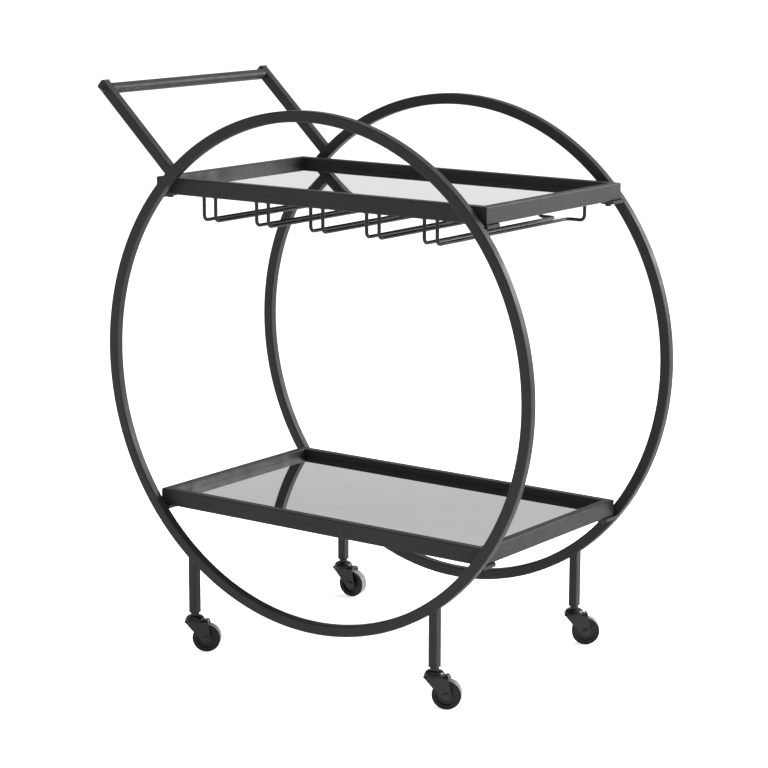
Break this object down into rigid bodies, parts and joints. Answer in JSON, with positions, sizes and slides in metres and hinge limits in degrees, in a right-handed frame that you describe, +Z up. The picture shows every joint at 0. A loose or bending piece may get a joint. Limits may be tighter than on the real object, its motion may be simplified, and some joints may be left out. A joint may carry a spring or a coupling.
{
  "type": "bar cart",
  "caption": "Bar cart on swivel casters: two round tube hoops hold two mirror trays, with a rack for hanging stemmed glasses under the upper one and a push handle at one end.",
  "frame": {"origin": "on the floor, under the middle of the cart's overall length and width", "axes": "+Z up, +X along the cart away from the push handle, +Y across the cart towards the side where the glasses go in"},
  "size_m": [0.7112, 0.3841, 0.7874],
  "materials": {
    "frame_paint": "matte charcoal powder coat",
    "dark_hardware": "satin black plated steel",
    "zinc_steel": "plain zinc",
    "black_plastic": "matte moulded",
    "tyre_rubber": "dull, slightly worn",
    "black_board": "painted hardboard",
    "mirror_glass": "silvered mirror"
  },
  "bodies": {
    "cart": {"hoop_front": "frame_paint", "hoop_back": "frame_paint", "handle_arm_front": "frame_paint", "handle_arm_back": "frame_paint", "arm_caps": "black_plastic", "handle_bar": "frame_paint", "bar_plugs": "zinc_steel", "handle_screws": "dark_hardware", "leg_plugs": "black_plastic", "caster_stems": "dark_hardware", "upper_tabs": "frame_paint", "lower_tabs": "frame_paint", "tray_bolts": "dark_hardware", "upper_rail_front": "frame_paint", "upper_rail_back": "frame_paint", "upper_rail_left": "frame_paint", "upper_rail_right": "frame_paint", "upper_ledges": "frame_paint", "upper_board": "black_board", "upper_mirror": "mirror_glass", "lower_rail_front": "frame_paint", "lower_rail_back": "frame_paint", "lower_rail_left": "frame_paint", "lower_rail_right": "frame_paint", "lower_ledges": "frame_paint", "lower_board": "black_board", "lower_mirror": "mirror_glass", "glass_runner_1": "frame_paint", "glass_runner_2": "frame_paint", "glass_runner_3": "frame_paint", "glass_runner_4": "frame_paint", "glass_runner_5": "frame_paint", "leg_front_left": "frame_paint", "leg_front_right": "frame_paint", "leg_back_left": "frame_paint", "leg_back_right": "frame_paint"},
    "swivel_front_left": {"fork_front_left": "dark_hardware", "axle_front_left": "dark_hardware"},
    "wheel_front_left": {"hub_front_left": "black_plastic", "tyre_front_left": "tyre_rubber"},
    "swivel_front_right": {"fork_front_right": "dark_hardware", "axle_front_right": "dark_hardware"},
    "wheel_front_right": {"hub_front_right": "black_plastic", "tyre_front_right": "tyre_rubber"},
    "swivel_back_left": {"fork_back_left": "dark_hardware", "axle_back_left": "dark_hardware"},
    "wheel_back_left": {"hub_back_left": "black_plastic", "tyre_back_left": "tyre_rubber"},
    "swivel_back_right": {"fork_back_right": "dark_hardware", "axle_back_right": "dark_hardware"},
    "wheel_back_right": {"hub_back_right": "black_plastic", "tyre_back_right": "tyre_rubber"}
  },
  "joints": [
    {"name": "swivel_front_left_turn", "type": "hinge", "parent": "cart", "child": "swivel_front_left", "pos_m": [-0.19841, -0.17145, 0.0419], "axis": [0, 0, 1], "continuous": true},
    {"name": "wheel_front_left_roll", "type": "hinge", "parent": "swivel_front_left", "child": "wheel_front_left", "pos_m": [-0.18441, -0.16271, 0.0195], "axis": [-0.5299, 0.848, 0], "continuous": true},
    {"name": "swivel_front_right_turn", "type": "hinge", "parent": "cart", "child": "swivel_front_right", "pos_m": [0.20959, -0.17145, 0.0419], "axis": [0, 0, 1], "continuous": true},
    {"name": "wheel_front_right_roll", "type": "hinge", "parent": "swivel_front_right", "child": "wheel_front_right", "pos_m": [0.22429, -0.16396, 0.0195], "axis": [-0.454, 0.891, 0], "continuous": true},
    {"name": "swivel_back_left_turn", "type": "hinge", "parent": "cart", "child": "swivel_back_left", "pos_m": [-0.19841, 0.17145, 0.0419], "axis": [0, 0, 1], "continuous": true},
    {"name": "wheel_back_left_roll", "type": "hinge", "parent": "swivel_back_left", "child": "wheel_back_left", "pos_m": [-0.18211, 0.17403, 0.0195], "axis": [-0.1564, 0.9877, 0], "continuous": true},
    {"name": "swivel_back_right_turn", "type": "hinge", "parent": "cart", "child": "swivel_back_right", "pos_m": [0.20959, 0.17145, 0.0419], "axis": [0, 0, 1], "continuous": true},
    {"name": "wheel_back_right_roll", "type": "hinge", "parent": "swivel_back_right", "child": "wheel_back_right", "pos_m": [0.22343, 0.18044, 0.0195], "axis": [-0.5446, 0.8387, 0], "continuous": true}
  ]
}
